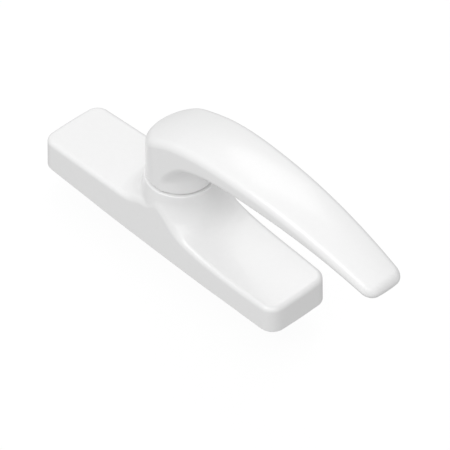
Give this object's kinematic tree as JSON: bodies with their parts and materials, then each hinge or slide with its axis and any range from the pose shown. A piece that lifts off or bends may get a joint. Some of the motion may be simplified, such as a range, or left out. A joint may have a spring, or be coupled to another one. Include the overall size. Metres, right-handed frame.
{
  "type": "cremone window handle",
  "caption": "White lever handle on a long narrow base with a round boss; turning the lever drives two opposed racks and pins behind the base.",
  "frame": {"origin": "spindle axis where it meets the mounting face at the back of the base", "axes": "+X along the base towards the lever's tip with the lever closed, +Y across the base, +Z out of the window towards the hand"},
  "size_m": [0.1573, 0.028, 0.0649],
  "materials": {
    "white_enamel": "glossy white powder coat on die-cast aluminium",
    "zinc_steel": "bright zinc-plated steel",
    "turned_steel": "turned or drawn steel, lightly oiled",
    "spring_steel": "blued spring steel",
    "black_steel": "black oxide steel",
    "cast_zinc": "bare die-cast zinc, matt",
    "nylon": "natural moulded nylon"
  },
  "bodies": {
    "base": {"base_cover": "white_enamel", "back_plate": "zinc_steel", "threaded_inserts": "turned_steel", "cover_screws": "zinc_steel", "bearing_bush": "nylon", "thrust_washer": "turned_steel", "pinion_washer": "nylon", "detent_holder": "nylon", "detent_springs": "spring_steel"},
    "lever": {"lever": "white_enamel", "grub_screw": "black_steel", "spindle": "turned_steel", "pinion": "cast_zinc", "detent_cam": "cast_zinc", "wave_washer": "spring_steel", "retaining_ring": "spring_steel"},
    "upper_slider": {"upper_rack": "cast_zinc", "upper_drive_pin": "turned_steel"},
    "lower_slider": {"lower_rack": "cast_zinc", "lower_drive_pin": "turned_steel"}
  },
  "joints": [
    {"name": "lever_turn", "type": "hinge", "parent": "base", "child": "lever", "pos_m": [0, 0, 0], "axis": [0, 0, 1], "range_deg": [0, 90], "deforming": ["detent_springs"]},
    {"name": "upper_slide", "type": "slide", "parent": "base", "child": "upper_slider", "axis": [1, 0, 0], "range_m": [0, 0.0114]},
    {"name": "lower_slide", "type": "slide", "parent": "base", "child": "lower_slider", "axis": [1, 0, 0], "range_m": [-0.0114, 0]}
  ],
  "couplings": [
    {"joint": "upper_slide", "follows": "lever_turn", "m_per_rad": 0.0072},
    {"joint": "lower_slide", "follows": "lever_turn", "m_per_rad": -0.0072}
  ]
}
